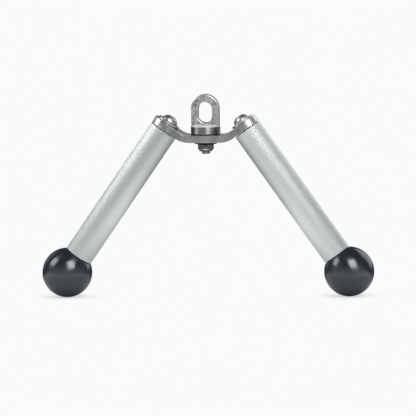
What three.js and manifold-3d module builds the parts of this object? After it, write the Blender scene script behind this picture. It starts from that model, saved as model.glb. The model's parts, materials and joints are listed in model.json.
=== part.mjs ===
// Tricep pushdown attachment: a swivelling eye over a bent steel bracket that carries two
// revolving grips, each held on its shaft by a turned plastic ball.
// Millimetres, +Z up. The origin is the top of the eye's slot, where a cable's hook bears.
// +X runs from the left grip to the right one, and the eye's flat faces look along Y.

import * as THREE from "three";
import { mergeVertices } from "three/addons/utils/BufferGeometryUtils.js";
import Module from "manifold-3d";

const wasm = await Module();
wasm.setup();

// Faceting
const WIDE_SEGMENTS = 48;
const NARROW_SEGMENTS = 36;
const INNER_SEGMENTS = 24;
const BALL_STEPS = 8;
const DOME_STEPS = 3;
const EYE_STEPS = 9;
const BEND_STEPS = 3;

// Clearances and overruns
const SEAT_GAP = 0.3;
const FACE_GAP = 0.1;
const RUNNING_CLEARANCE = 0.15;
const PRESS_CLEARANCE = 0.05;
const CUT_OVERRUN = 2;

// Eye
const EYE_WIDTH = 30.5;
const EYE_THICKNESS = 13;
const EYE_BEVEL = 1;
const SLOT_WIDTH = 15.5;
const SLOT_LENGTH = 22.6;
const CROWN_WALL = 8.4;
const SLOT_FLOOR = 2;
const EYE_ROOT = 4;

// Collar and stud under the eye
const COLLAR_LIP = 1;
const COLLAR_HEIGHT = 10.3;
const COLLAR_TOP_CHAMFER = 2.4;
const COLLAR_FOOT_CHAMFER = 0.7;
const STUD_DIAMETER = 12;
const STUD_THREAD_DIAMETER = 10;
const STUD_END_CHAMFER = 0.8;
const STUD_REACH = 3;

// Swivel washers and bushing
const THRUST_WASHER_THICKNESS = 1;
const THRUST_WASHER_INSET = 0.3;
const RETAINING_WASHER_DIAMETER = 24.6;
const RETAINING_WASHER_THICKNESS = 1.8;
const WASHER_EDGE = 0.25;
const SWIVEL_BUSHING_WALL = 2;

// Lock nut with its nylon ring
const NUT_ACROSS_FLATS = 17;
const NUT_HEX_HEIGHT = 6.4;
const NUT_COLLAR_HEIGHT = 1.6;
const NUT_COLLAR_DIAMETER = 14.4;
const NUT_COLLAR_EDGE = 0.5;
const NUT_FACE_SHARE = 0.94;
const NUT_CHAMFER_ANGLE = THREE.MathUtils.degToRad(30);
const NUT_TURN = THREE.MathUtils.degToRad(3);
const INSERT_WALL = 1.1;
const INSERT_HEIGHT = 2.2;
const NUT_LIP_THICKNESS = 0.4;
const NUT_LIP_REACH = 0.5;

// Grips
const HANDLE_TILT = THREE.MathUtils.degToRad(35);
const GRIP_DIAMETER = 32;
const GRIP_LENGTH = 169;
const GRIP_WALL = 3;
const GRIP_EDGE = 0.6;
const GRIP_FLANGE_SHARE = 0.5;
const BUSHING_FLANGE = 2.5;
const BUSHING_STANDOFF = 0.5;
const BUSHING_DEPTH = 18;

// Bracket bent from flat bar as wide as the grips
const BAR_WIDTH = GRIP_DIAMETER;
const BAR_THICKNESS = 8;
const BAR_EDGE = 0.5;
const BEND_INNER_RADIUS = 20;
const LAND_MARGIN = 0.1;

// Shafts and end balls
const SHAFT_BORE_SHARE = 0.615;
const SHAFT_EDGE = 0.6;
const SPIGOT_SHOULDER = 2;
const SPIGOT_LENGTH = 20;
const BALL_DIAMETER = 55;
const BALL_SEAT_LIP = 0.5;
const BALL_INSERT_WALL = 3;
const BALL_INSERT_RUNOUT = 4;
const DRILL_POINT_ANGLE = THREE.MathUtils.degToRad(59);

// Cap screws and their washers
const SCREW_DIAMETER = 10;
const SCREW_HEAD_DIAMETER = 18;
const SCREW_HEAD_HEIGHT = 5.6;
const SCREW_HEAD_RIM = 0.8;
const SCREW_HEAD_TOP_DIAMETER = 9;
const SCREW_SOCKET_FLATS = 6;
const SCREW_SOCKET_DEPTH = 3.4;
const SCREW_ENGAGEMENT = 18;
const SCREW_RUNOUT = 4;
const SCREW_END_CHAMFER = 0.8;
const SCREW_HOLE_CLEARANCE = 0.4;
const SCREW_WASHER_INSET = 3.25;
const SCREW_WASHER_THICKNESS = 2;

// Derived sizes of the swivel
const collarDiameter = EYE_WIDTH + 2 * COLLAR_LIP;
const threadBoreRadius = STUD_THREAD_DIAMETER / 2 + RUNNING_CLEARANCE;
const swivelBoreRadius = STUD_DIAMETER / 2 + RUNNING_CLEARANCE;
const bushingSeatRadius = swivelBoreRadius + SWIVEL_BUSHING_WALL;
const insertSeatRadius = threadBoreRadius + INSERT_WALL;

// Heights of the swivel's faces, from the slot's top down
const collarTop = -SLOT_LENGTH - SLOT_FLOOR;
const collarFoot = collarTop - COLLAR_HEIGHT;
const thrustWasherFoot = collarFoot - FACE_GAP - THRUST_WASHER_THICKNESS;
const bracketTop = thrustWasherFoot - FACE_GAP;
const bracketFoot = bracketTop - BAR_THICKNESS;
const retainingWasherFoot = bracketFoot - FACE_GAP - RETAINING_WASHER_THICKNESS;
const nutTop = retainingWasherFoot - FACE_GAP;
const nutFoot = nutTop - NUT_HEX_HEIGHT - NUT_COLLAR_HEIGHT;
const studEnd = nutFoot - STUD_REACH;

// Bracket outline and the places where the handle axes cross the arms' undersides
const hubHalfLength = collarDiameter / 2 + LAND_MARGIN;
const armRun = GRIP_DIAMETER / 2 + LAND_MARGIN;
const armReach = armRun + BAR_WIDTH / 2;
const bendOuterRadius = BEND_INNER_RADIUS + BAR_THICKNESS;
const axisAcross = hubHalfLength + bendOuterRadius * Math.sin(HANDLE_TILT) + armRun * Math.cos(HANDLE_TILT);
const axisRise = bendOuterRadius * (1 - Math.cos(HANDLE_TILT)) + armRun * Math.sin(HANDLE_TILT);

// Heights along a handle, from the arm's underside down
const bushingTop = -SEAT_GAP;
const gripTop = bushingTop - BUSHING_STANDOFF;
const gripFoot = gripTop - GRIP_LENGTH;
const bushingFoot = gripFoot - BUSHING_STANDOFF;
const ballSeat = bushingFoot - SEAT_GAP;

// Sizes of the pieces along a handle
const gripBoreRadius = GRIP_DIAMETER / 2 - GRIP_WALL;
const shaftRadius = gripBoreRadius * SHAFT_BORE_SHARE;
const spigotRadius = shaftRadius - SPIGOT_SHOULDER;
const flangeSeatRadius = gripBoreRadius + GRIP_WALL * GRIP_FLANGE_SHARE;
const flangeSeatDepth = BUSHING_FLANGE - BUSHING_STANDOFF + FACE_GAP;
const ballRadius = BALL_DIAMETER / 2;
const ballSeatRadius = GRIP_DIAMETER / 2 + BALL_SEAT_LIP;
const ballSeatDistance = Math.sqrt(ballRadius ** 2 - ballSeatRadius ** 2);
const ballInsertBoreRadius = spigotRadius + RUNNING_CLEARANCE;
const ballBoreRadius = ballInsertBoreRadius + BALL_INSERT_WALL;
const ballInsertFoot = ballSeat + SEAT_GAP - SPIGOT_LENGTH - BALL_INSERT_RUNOUT;
const screwSeat = BAR_THICKNESS + SEAT_GAP + SCREW_WASHER_THICKNESS + SEAT_GAP;
const tappedBoreRadius = SCREW_DIAMETER / 2 + RUNNING_CLEARANCE;

/** Closed solid of a geometry's mesh, with its seams merged and its empty triangles dropped. */
function toSolid(geometry) {
  geometry.deleteAttribute("normal");
  geometry.deleteAttribute("uv");
  const merged = mergeVertices(geometry);
  const corners = merged.index.array;
  const kept = [];
  for (let start = 0; start < corners.length; start += 3) {
    const [a, b, c] = corners.slice(start, start + 3);
    if (a !== b && b !== c && c !== a) {
      kept.push(a, b, c);
    }
  }
  return new wasm.Manifold(new wasm.Mesh({
    numProp: 3,
    vertProperties: merged.attributes.position.array,
    triVerts: new Uint32Array(kept),
  }));
}

/** Mesh geometry of a finished solid. */
function toGeometry(solid) {
  const mesh = solid.getMesh();
  const geometry = new THREE.BufferGeometry();
  geometry.setAttribute("position", new THREE.BufferAttribute(mesh.vertProperties, 3));
  geometry.setIndex(new THREE.BufferAttribute(mesh.triVerts, 1));
  geometry.computeVertexNormals();
  return geometry;
}

/** Geometry turned about +Z from a half-section that is drawn as radius across and height up. */
function turnedGeometry(section, segments, steps = 1) {
  return new THREE.LatheGeometry(section.getPoints(steps), segments).rotateX(Math.PI / 2);
}

/** Solid turned about +Z. */
function turned(section, segments, steps) {
  return toSolid(turnedGeometry(section, segments, steps));
}

/** Plain round bar about +Z between two heights. */
function roundBar(radius, foot, top, segments) {
  return turnedGeometry(rodSection(radius, foot, top), segments);
}

/** Half-section of a rod, with a chamfer on either end where one is given. */
function rodSection(radius, foot, top, footChamfer = 0, topChamfer = 0) {
  const section = new THREE.Path();
  section.moveTo(0, foot);
  section.lineTo(radius - footChamfer, foot);
  section.lineTo(radius, foot + footChamfer);
  section.lineTo(radius, top - topChamfer);
  section.lineTo(radius - topChamfer, top);
  section.lineTo(0, top);
  return section;
}

/** Half-section of a flat ring, with its outer edges chamfered where an edge is given. */
function ringSection(innerRadius, outerRadius, foot, top, edge = 0) {
  const section = new THREE.Path();
  section.moveTo(innerRadius, foot);
  section.lineTo(outerRadius - edge, foot);
  section.lineTo(outerRadius, foot + edge);
  section.lineTo(outerRadius, top - edge);
  section.lineTo(outerRadius - edge, top);
  section.lineTo(innerRadius, top);
  section.lineTo(innerRadius, foot);
  return section;
}

/** Prism of a shape that is drawn in X and Z, centred on Y, with its long edges chamfered. */
function sideExtrusion(shape, width, edge, curveSteps) {
  const geometry = new THREE.ExtrudeGeometry(shape, {
    depth: width - 2 * edge,
    curveSegments: curveSteps,
    bevelSegments: 1,
    bevelThickness: edge,
    bevelSize: edge,
    bevelOffset: -edge,
  });
  return toSolid(geometry.rotateX(Math.PI / 2).translate(0, width / 2 - edge, 0));
}

/** Hexagon across the given flats, with one corner towards -Y before it is turned. */
function hexagon(acrossFlats, turn = 0) {
  const cornerRadius = acrossFlats / Math.sqrt(3);
  const corners = [];
  for (let side = 0; side < 6; side += 1) {
    const angle = side * Math.PI / 3 - Math.PI / 2 + turn;
    corners.push(new THREE.Vector2(cornerRadius * Math.cos(angle), cornerRadius * Math.sin(angle)));
  }
  return new THREE.Shape(corners);
}

/** Hexagonal prism along +Z. */
function hexPrism(acrossFlats, foot, top, turn) {
  const settings = { depth: top - foot, bevelEnabled: false };
  return toSolid(new THREE.ExtrudeGeometry(hexagon(acrossFlats, turn), settings).translate(0, 0, foot));
}

/** Group at the crossing of a handle's axis and its arm's underside, with +Z up the handle. */
function handleFrame(side) {
  const frame = new THREE.Group();
  frame.position.set(side * axisAcross, 0, bracketFoot + axisRise);
  frame.rotation.y = -side * HANDLE_TILT;
  frame.updateMatrix();
  return frame;
}

/** Eye plate with its slot, on a round collar and the stud that the nut draws up. */
function makeSwivelEye() {
  const outline = new THREE.Shape();
  outline.moveTo(-EYE_WIDTH / 2, collarTop - EYE_ROOT);
  outline.lineTo(EYE_WIDTH / 2, collarTop - EYE_ROOT);
  outline.absarc(0, CROWN_WALL - EYE_WIDTH / 2, EYE_WIDTH / 2, 0, Math.PI, false);
  outline.closePath();
  const slotRadius = SLOT_WIDTH / 2;
  const slot = new THREE.Path();
  slot.absarc(0, -slotRadius, slotRadius, 0, Math.PI, false);
  slot.absarc(0, slotRadius - SLOT_LENGTH, slotRadius, Math.PI, 2 * Math.PI, false);
  slot.closePath();
  outline.holes.push(slot);
  const plate = sideExtrusion(outline, EYE_THICKNESS, EYE_BEVEL, EYE_STEPS);

  const collarRadius = collarDiameter / 2;
  const threadRadius = STUD_THREAD_DIAMETER / 2;
  const section = new THREE.Path();
  section.moveTo(0, studEnd);
  section.lineTo(threadRadius - STUD_END_CHAMFER, studEnd);
  section.lineTo(threadRadius, studEnd + STUD_END_CHAMFER);
  section.lineTo(threadRadius, bracketFoot);
  section.lineTo(STUD_DIAMETER / 2, bracketFoot);
  section.lineTo(STUD_DIAMETER / 2, collarFoot);
  section.lineTo(collarRadius - COLLAR_FOOT_CHAMFER, collarFoot);
  section.lineTo(collarRadius, collarFoot + COLLAR_FOOT_CHAMFER);
  section.lineTo(collarRadius, collarTop - COLLAR_TOP_CHAMFER);
  section.lineTo(collarRadius - COLLAR_TOP_CHAMFER, collarTop);
  section.lineTo(0, collarTop);
  return plate.add(turned(section, WIDE_SEGMENTS));
}

/** Black ring that the collar turns on. */
function makeThrustWasher() {
  const outer = collarDiameter / 2 - THRUST_WASHER_INSET;
  const top = thrustWasherFoot + THRUST_WASHER_THICKNESS;
  return turned(ringSection(swivelBoreRadius, outer, thrustWasherFoot, top), WIDE_SEGMENTS);
}

/** Plain bronze sleeve pressed into the bracket's hub. */
function makeSwivelBushing() {
  const outer = bushingSeatRadius - PRESS_CLEARANCE;
  return turned(ringSection(swivelBoreRadius, outer, bracketFoot, bracketTop), INNER_SEGMENTS);
}

/** Black washer between the bracket and the nut, clamped against the stud's shoulder. */
function makeRetainingWasher() {
  const outer = RETAINING_WASHER_DIAMETER / 2;
  const top = retainingWasherFoot + RETAINING_WASHER_THICKNESS;
  return turned(ringSection(threadBoreRadius, outer, retainingWasherFoot, top, WASHER_EDGE), NARROW_SEGMENTS);
}

/** Chamfered hexagon nut with a round collar that is crimped over its nylon ring. */
function makeLockNut() {
  const hexFoot = nutTop - NUT_HEX_HEIGHT;
  const faceRadius = NUT_ACROSS_FLATS * NUT_FACE_SHARE / 2;
  const reliefRadius = NUT_ACROSS_FLATS / Math.sqrt(3) + CUT_OVERRUN;
  const reliefRise = (reliefRadius - faceRadius) * Math.tan(NUT_CHAMFER_ANGLE);
  const relief = new THREE.Path();
  relief.moveTo(0, hexFoot);
  relief.lineTo(faceRadius, hexFoot);
  relief.lineTo(reliefRadius, hexFoot + reliefRise);
  relief.lineTo(reliefRadius, nutTop - reliefRise);
  relief.lineTo(faceRadius, nutTop);
  relief.lineTo(0, nutTop);
  const hex = hexPrism(NUT_ACROSS_FLATS, hexFoot - CUT_OVERRUN, nutTop + CUT_OVERRUN, NUT_TURN);
  const collarRadius = NUT_COLLAR_DIAMETER / 2;
  const collar = rodSection(collarRadius, nutFoot, hexFoot + NUT_COLLAR_HEIGHT, NUT_COLLAR_EDGE);

  const grooveFoot = nutFoot + NUT_LIP_THICKNESS;
  const grooveTop = grooveFoot + INSERT_HEIGHT + FACE_GAP;
  const lipRadius = insertSeatRadius - NUT_LIP_REACH;
  const bore = new THREE.Path();
  bore.moveTo(0, nutFoot - CUT_OVERRUN);
  bore.lineTo(lipRadius, nutFoot - CUT_OVERRUN);
  bore.lineTo(lipRadius, grooveFoot);
  bore.lineTo(insertSeatRadius, grooveFoot);
  bore.lineTo(insertSeatRadius, grooveTop);
  bore.lineTo(threadBoreRadius, grooveTop);
  bore.lineTo(threadBoreRadius, nutTop + CUT_OVERRUN);
  bore.lineTo(0, nutTop + CUT_OVERRUN);
  const body = hex.intersect(turned(relief, NARROW_SEGMENTS)).add(turned(collar, NARROW_SEGMENTS));
  return body.subtract(turned(bore, NARROW_SEGMENTS));
}

/** Nylon ring that grips the stud's thread inside the nut's collar. */
function makeNutInsert() {
  const foot = nutFoot + NUT_LIP_THICKNESS + FACE_GAP / 2;
  const outer = insertSeatRadius - PRESS_CLEARANCE;
  return turned(ringSection(threadBoreRadius, outer, foot, foot + INSERT_HEIGHT), INNER_SEGMENTS);
}

/** Side outline of the bent bar, whose arms run past the handle axes by half the bar's width. */
function bracketOutline() {
  const bendCentre = bracketTop + BEND_INNER_RADIUS;
  const down = -Math.PI / 2;
  const along = new THREE.Vector2(Math.cos(HANDLE_TILT), Math.sin(HANDLE_TILT));
  const bendEnd = new THREE.Vector2(
    hubHalfLength + bendOuterRadius * Math.sin(HANDLE_TILT),
    bendCentre - bendOuterRadius * Math.cos(HANDLE_TILT),
  );
  const footTip = bendEnd.clone().addScaledVector(along, armReach);
  const topTip = footTip.clone().add(new THREE.Vector2(-along.y, along.x).multiplyScalar(BAR_THICKNESS));
  const outline = new THREE.Shape();
  outline.moveTo(-hubHalfLength, bracketFoot);
  outline.absarc(hubHalfLength, bendCentre, bendOuterRadius, down, down + HANDLE_TILT, false);
  outline.lineTo(footTip.x, footTip.y);
  outline.lineTo(topTip.x, topTip.y);
  outline.absarc(hubHalfLength, bendCentre, BEND_INNER_RADIUS, down + HANDLE_TILT, down, true);
  outline.absarc(-hubHalfLength, bendCentre, BEND_INNER_RADIUS, down, down - HANDLE_TILT, true);
  outline.lineTo(-topTip.x, topTip.y);
  outline.lineTo(-footTip.x, footTip.y);
  outline.absarc(-hubHalfLength, bendCentre, bendOuterRadius, down - HANDLE_TILT, down, false);
  return outline;
}

/** Square end block of an arm less its round tip, so that cutting it leaves a half-round end. */
function armTipWaste(side) {
  const frame = handleFrame(side);
  const reach = armReach + CUT_OVERRUN;
  const span = BAR_WIDTH + 2 * CUT_OVERRUN;
  const height = BAR_THICKNESS + 2 * CUT_OVERRUN;
  const block = new THREE.BoxGeometry(reach, span, height);
  block.translate(side * reach / 2, 0, BAR_THICKNESS / 2).applyMatrix4(frame.matrix);
  const tip = roundBar(BAR_WIDTH / 2, -2 * CUT_OVERRUN, BAR_THICKNESS + 2 * CUT_OVERRUN, WIDE_SEGMENTS);
  return toSolid(block).subtract(toSolid(tip.applyMatrix4(frame.matrix)));
}

/** Flat bar bent up on both sides of its hub, with round tips, a hub bore and two screw holes. */
function makeBracket() {
  const boreFoot = bracketFoot - CUT_OVERRUN;
  const boreTop = bracketTop + CUT_OVERRUN;
  const hubBore = roundBar(bushingSeatRadius, boreFoot, boreTop, INNER_SEGMENTS);
  let bar = sideExtrusion(bracketOutline(), BAR_WIDTH, BAR_EDGE, BEND_STEPS).subtract(toSolid(hubBore));
  const holeRadius = SCREW_DIAMETER / 2 + SCREW_HOLE_CLEARANCE;
  for (const side of [-1, 1]) {
    const hole = roundBar(holeRadius, -CUT_OVERRUN, BAR_THICKNESS + CUT_OVERRUN, NARROW_SEGMENTS);
    bar = bar.subtract(armTipWaste(side));
    bar = bar.subtract(toSolid(hole.applyMatrix4(handleFrame(side).matrix)));
  }
  return bar;
}

/** Domed cap screw with a hexagon socket, its head standing on the washer. */
function makeCapScrew() {
  const rim = SCREW_HEAD_DIAMETER / 2;
  const crown = SCREW_HEAD_TOP_DIAMETER / 2;
  const rise = SCREW_HEAD_HEIGHT - SCREW_HEAD_RIM;
  const drop = (rim ** 2 - crown ** 2 - rise ** 2) / (2 * rise);
  const domeRadius = Math.hypot(rim, drop);
  const shankEnd = -SEAT_GAP - SCREW_ENGAGEMENT;
  const shankRadius = SCREW_DIAMETER / 2;
  const section = new THREE.Path();
  section.moveTo(0, shankEnd);
  section.lineTo(shankRadius - SCREW_END_CHAMFER, shankEnd);
  section.lineTo(shankRadius, shankEnd + SCREW_END_CHAMFER);
  section.lineTo(shankRadius, screwSeat);
  section.lineTo(rim, screwSeat);
  const domeCentre = screwSeat + SCREW_HEAD_RIM - drop;
  section.absarc(0, domeCentre, domeRadius, Math.atan2(drop, rim), Math.atan2(drop + rise, crown), false);
  section.lineTo(0, screwSeat + SCREW_HEAD_HEIGHT);
  const headTop = screwSeat + SCREW_HEAD_HEIGHT;
  const socket = hexPrism(SCREW_SOCKET_FLATS, headTop - SCREW_SOCKET_DEPTH, headTop + CUT_OVERRUN);
  return turned(section, NARROW_SEGMENTS, DOME_STEPS).subtract(socket);
}

/** Steel washer between a cap screw's head and the arm. */
function makeScrewWasher() {
  const inner = SCREW_DIAMETER / 2 + SCREW_HOLE_CLEARANCE;
  const outer = BAR_WIDTH / 2 - SCREW_WASHER_INSET;
  const foot = BAR_THICKNESS + SEAT_GAP;
  const top = foot + SCREW_WASHER_THICKNESS;
  return turned(ringSection(inner, outer, foot, top, WASHER_EDGE), NARROW_SEGMENTS);
}

/** Shaft from the arm to the ball: tapped for the cap screw above, with a spigot below. */
function makeShaft() {
  const shoulder = ballSeat + SEAT_GAP;
  const tappedDepth = SCREW_ENGAGEMENT + SCREW_RUNOUT;
  const tapEnd = -SEAT_GAP - tappedDepth;
  const section = new THREE.Path();
  section.moveTo(0, shoulder - SPIGOT_LENGTH);
  section.lineTo(spigotRadius - SHAFT_EDGE, shoulder - SPIGOT_LENGTH);
  section.lineTo(spigotRadius, shoulder - SPIGOT_LENGTH + SHAFT_EDGE);
  section.lineTo(spigotRadius, shoulder);
  section.lineTo(shaftRadius - SHAFT_EDGE, shoulder);
  section.lineTo(shaftRadius, shoulder + SHAFT_EDGE);
  section.lineTo(shaftRadius, -SEAT_GAP - SHAFT_EDGE);
  section.lineTo(shaftRadius - SHAFT_EDGE, -SEAT_GAP);
  section.lineTo(tappedBoreRadius, -SEAT_GAP);
  section.lineTo(tappedBoreRadius, tapEnd);
  section.lineTo(0, tapEnd - tappedBoreRadius / Math.tan(DRILL_POINT_ANGLE));
  return turned(section, INNER_SEGMENTS);
}

/** Flanged bushing in a grip's end, its flange outwards at the given height and facing up or down. */
function makeBushing(flangeFace, facing) {
  const bore = shaftRadius + RUNNING_CLEARANCE;
  const flangeBack = flangeFace - facing * BUSHING_FLANGE;
  const innerEnd = flangeBack - facing * BUSHING_DEPTH;
  const flangeRadius = flangeSeatRadius - PRESS_CLEARANCE;
  const sleeveRadius = gripBoreRadius - PRESS_CLEARANCE;
  const corners = [
    [bore, innerEnd],
    [sleeveRadius, innerEnd],
    [sleeveRadius, flangeBack],
    [flangeRadius, flangeBack],
    [flangeRadius, flangeFace],
    [bore, flangeFace],
    [bore, innerEnd],
  ];
  if (facing < 0) {
    corners.reverse();
  }
  const section = new THREE.Path(corners.map(([radius, height]) => new THREE.Vector2(radius, height)));
  return turned(section, INNER_SEGMENTS);
}

/** Plain steel grip tube, counterbored at both ends for the bushings' flanges. */
function makeGrip() {
  const outer = GRIP_DIAMETER / 2;
  const section = new THREE.Path();
  section.moveTo(flangeSeatRadius, gripFoot);
  section.lineTo(outer - GRIP_EDGE, gripFoot);
  section.lineTo(outer, gripFoot + GRIP_EDGE);
  section.lineTo(outer, gripTop - GRIP_EDGE);
  section.lineTo(outer - GRIP_EDGE, gripTop);
  section.lineTo(flangeSeatRadius, gripTop);
  section.lineTo(flangeSeatRadius, gripTop - flangeSeatDepth);
  section.lineTo(gripBoreRadius, gripTop - flangeSeatDepth);
  section.lineTo(gripBoreRadius, gripFoot + flangeSeatDepth);
  section.lineTo(flangeSeatRadius, gripFoot + flangeSeatDepth);
  section.lineTo(flangeSeatRadius, gripFoot);
  return turned(section, WIDE_SEGMENTS);
}

/** Steel insert pressed into a ball, tapped for the shaft's spigot, with its face level with the seat. */
function makeBallInsert() {
  const outer = ballBoreRadius - PRESS_CLEARANCE;
  return turned(ringSection(ballInsertBoreRadius, outer, ballInsertFoot, ballSeat), INNER_SEGMENTS);
}

/** Turned ball with a flat seat for the grip's end and a blind bore for its insert. */
function makeBall() {
  const centre = ballSeat - ballSeatDistance;
  const boreEnd = ballInsertFoot - FACE_GAP;
  const section = new THREE.Path();
  const seatAngle = Math.atan2(ballSeatDistance, ballSeatRadius);
  section.absarc(0, centre, ballRadius, -Math.PI / 2, seatAngle, false);
  section.lineTo(ballBoreRadius, ballSeat);
  section.lineTo(ballBoreRadius, boreEnd);
  section.lineTo(0, boreEnd - ballBoreRadius / Math.tan(DRILL_POINT_ANGLE));
  return turned(section, WIDE_SEGMENTS, BALL_STEPS);
}

const finishes = {
  eyeSteel: { color: 0x9a9c9b, roughness: 0.42, metalness: 1 },
  bracketSteel: { color: 0x8f9190, roughness: 0.4, metalness: 1 },
  satinStainless: { color: 0xc4c8c8, roughness: 0.32, metalness: 1 },
  brightSteel: { color: 0xb4b6b7, roughness: 0.25, metalness: 1 },
  nutSteel: { color: 0x8c8e90, roughness: 0.35, metalness: 1 },
  blackBall: { color: 0x1d1f21, roughness: 0.34, metalness: 0 },
  blackAcetal: { color: 0x161718, roughness: 0.5, metalness: 0 },
  blackSteel: { color: 0x202224, roughness: 0.45, metalness: 0.6 },
  bronze: { color: 0x9c7444, roughness: 0.45, metalness: 1 },
  nylon: { color: 0x2f5f8f, roughness: 0.55, metalness: 0 },
};

/** Named mesh of a finished solid in one of the finishes. */
function piece(name, solid, finish) {
  const mesh = new THREE.Mesh(toGeometry(solid), new THREE.MeshStandardMaterial(finishes[finish]));
  mesh.name = name;
  return mesh;
}

/** One handle in its own turned group. */
function makeHandle(sideName, side) {
  const handle = handleFrame(side);
  handle.add(piece(`${sideName}_cap_screw`, makeCapScrew(), "brightSteel"));
  handle.add(piece(`${sideName}_screw_washer`, makeScrewWasher(), "brightSteel"));
  handle.add(piece(`${sideName}_shaft`, makeShaft(), "brightSteel"));
  handle.add(piece(`${sideName}_upper_bushing`, makeBushing(bushingTop, 1), "blackAcetal"));
  handle.add(piece(`${sideName}_lower_bushing`, makeBushing(bushingFoot, -1), "blackAcetal"));
  handle.add(piece(`${sideName}_grip`, makeGrip(), "satinStainless"));
  handle.add(piece(`${sideName}_ball`, makeBall(), "blackBall"));
  handle.add(piece(`${sideName}_ball_insert`, makeBallInsert(), "brightSteel"));
  return handle;
}

const attachment = new THREE.Group();
attachment.add(piece("swivel_eye", makeSwivelEye(), "eyeSteel"));
attachment.add(piece("thrust_washer", makeThrustWasher(), "blackAcetal"));
attachment.add(piece("swivel_bushing", makeSwivelBushing(), "bronze"));
attachment.add(piece("retaining_washer", makeRetainingWasher(), "blackSteel"));
attachment.add(piece("lock_nut", makeLockNut(), "nutSteel"));
attachment.add(piece("lock_nut_insert", makeNutInsert(), "nylon"));
attachment.add(piece("bracket", makeBracket(), "bracketSteel"));
attachment.add(makeHandle("left", -1));
attachment.add(makeHandle("right", 1));

export default attachment;
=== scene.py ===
"""Dresses the tricep pushdown attachment with smooth pieces and finishes in a pale studio."""

import json
import logging
import math
from collections.abc import Sequence
from dataclasses import dataclass
from enum import Enum, IntEnum

import bmesh
import bpy
from mathutils import Matrix, Vector


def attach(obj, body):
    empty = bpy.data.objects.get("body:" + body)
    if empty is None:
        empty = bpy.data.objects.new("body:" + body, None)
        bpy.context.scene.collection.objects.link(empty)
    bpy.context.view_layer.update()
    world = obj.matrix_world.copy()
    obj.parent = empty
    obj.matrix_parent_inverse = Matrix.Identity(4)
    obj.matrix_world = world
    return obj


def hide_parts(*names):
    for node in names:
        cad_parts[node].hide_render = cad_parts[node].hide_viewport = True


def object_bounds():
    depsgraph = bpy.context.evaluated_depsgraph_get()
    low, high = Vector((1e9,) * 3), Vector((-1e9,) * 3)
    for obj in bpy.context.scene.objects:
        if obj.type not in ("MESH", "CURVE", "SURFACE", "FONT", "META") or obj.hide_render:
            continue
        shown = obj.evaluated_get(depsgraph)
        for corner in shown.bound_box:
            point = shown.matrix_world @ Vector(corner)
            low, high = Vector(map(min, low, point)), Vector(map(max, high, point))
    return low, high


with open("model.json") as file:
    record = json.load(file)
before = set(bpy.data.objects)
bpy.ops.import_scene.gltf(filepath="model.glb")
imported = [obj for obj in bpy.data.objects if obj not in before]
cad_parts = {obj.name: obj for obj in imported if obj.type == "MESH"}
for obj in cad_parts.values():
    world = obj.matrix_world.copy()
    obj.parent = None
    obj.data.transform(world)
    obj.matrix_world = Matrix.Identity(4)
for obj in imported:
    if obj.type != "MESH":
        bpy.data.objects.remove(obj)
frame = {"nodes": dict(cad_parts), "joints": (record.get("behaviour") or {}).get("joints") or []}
cad_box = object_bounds()
log = logging.getLogger("attachment")

MM = 0.001
FULL_TURN = 2 * math.pi
MERGE_DISTANCE = 1e-6
CREASE_ANGLE = math.radians(40)
RIM_ANGLE = math.radians(45)
FACETS = 96
UP = Vector((0.0, 0.0, 1.0))

Color = tuple[float, float, float]
# Input at a fade's start and end, then its output there.
Fade = tuple[float, float, float, float]
Node = bpy.types.Node
Socket = bpy.types.NodeSocket
Feed = Socket | float | Sequence[float]
# What goes into a node's inputs, by their names or numbers: outputs to link, or plain values.
Feeds = dict[str | int, Feed]
Material = bpy.types.Material
Mesh = bmesh.types.BMesh
Vert = bmesh.types.BMVert
Edge = bmesh.types.BMEdge
Loop = list[Edge]


class Part(Enum):
    """CAD bodies that the pieces ride on."""

    HANGER = "hanger"
    YOKE = "yoke"
    LEFT_HANDLE = "left_handle"
    RIGHT_HANDLE = "right_handle"


class Side(Enum):
    """The two handles, by the sign of their X."""

    LEFT = -1
    RIGHT = 1

    @property
    def word(self) -> str:
        """Start of this side's node names."""
        return self.name.lower()

    @property
    def handle(self) -> Part:
        """Body that this side's grip turns on."""
        return Part(f"{self.word}_handle")

    @property
    def place(self) -> Matrix:
        """Where the handle stands.

        Returns:
            Matrix from the handle's own axes, with +Z up the handle, to the object's.
        """
        joint = next(j for j in frame["joints"] if j["name"] == f"{self.word}_grip_spin")
        tilt = math.atan2(joint["axis"][0], joint["axis"][2])
        return Matrix.Translation(joint["pos_m"]) @ Matrix.Rotation(tilt, 4, "Y")


class Lay(Enum):
    """Ways in which a surface was worked, by the run of its fine lines."""

    GRAIN = "grain"
    ROUND = "round"
    ALONG = "along"


class Surface(IntEnum):
    """Kinds of surface on one piece, by the place of their finish in its list."""

    PLAIN = 0
    # Worn edges, and the nut's painted highlight.
    WORN = 1
    TURNED = 2
    # The collar's painted highlight.
    CHAMFER = 3


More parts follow.
